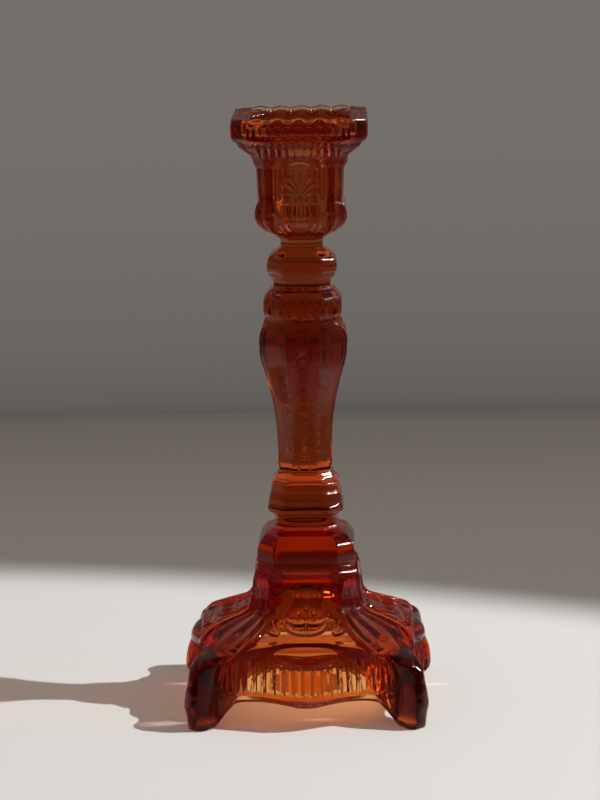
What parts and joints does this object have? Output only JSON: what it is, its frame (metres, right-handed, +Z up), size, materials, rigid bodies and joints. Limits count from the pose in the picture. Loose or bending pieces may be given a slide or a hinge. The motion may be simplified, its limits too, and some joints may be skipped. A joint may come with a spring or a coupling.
{
  "type": "glass candlestick",
  "caption": "Pressed amber-red glass candlestick with a square fluted rim, an octagonal baluster stem and a hollow footed base.",
  "frame": {"origin": "on the floor, under the middle of the base", "axes": "+Z up along the stem; X and Y square to the four equal sides of the base"},
  "size_m": [0.0954, 0.0954, 0.2286],
  "materials": {
    "cup_glass": "fire-polished transparent amber-red",
    "stem_glass": "fire-polished transparent amber-red",
    "wafer_glass": "fire-polished transparent amber-red",
    "base_glass": "fire-polished transparent amber-red"
  },
  "bodies": {
    "root": {"candle_cup": "cup_glass", "upper_wafer": "wafer_glass", "stem": "stem_glass", "lower_wafer": "wafer_glass", "base": "base_glass"}
  },
  "joints": []
}
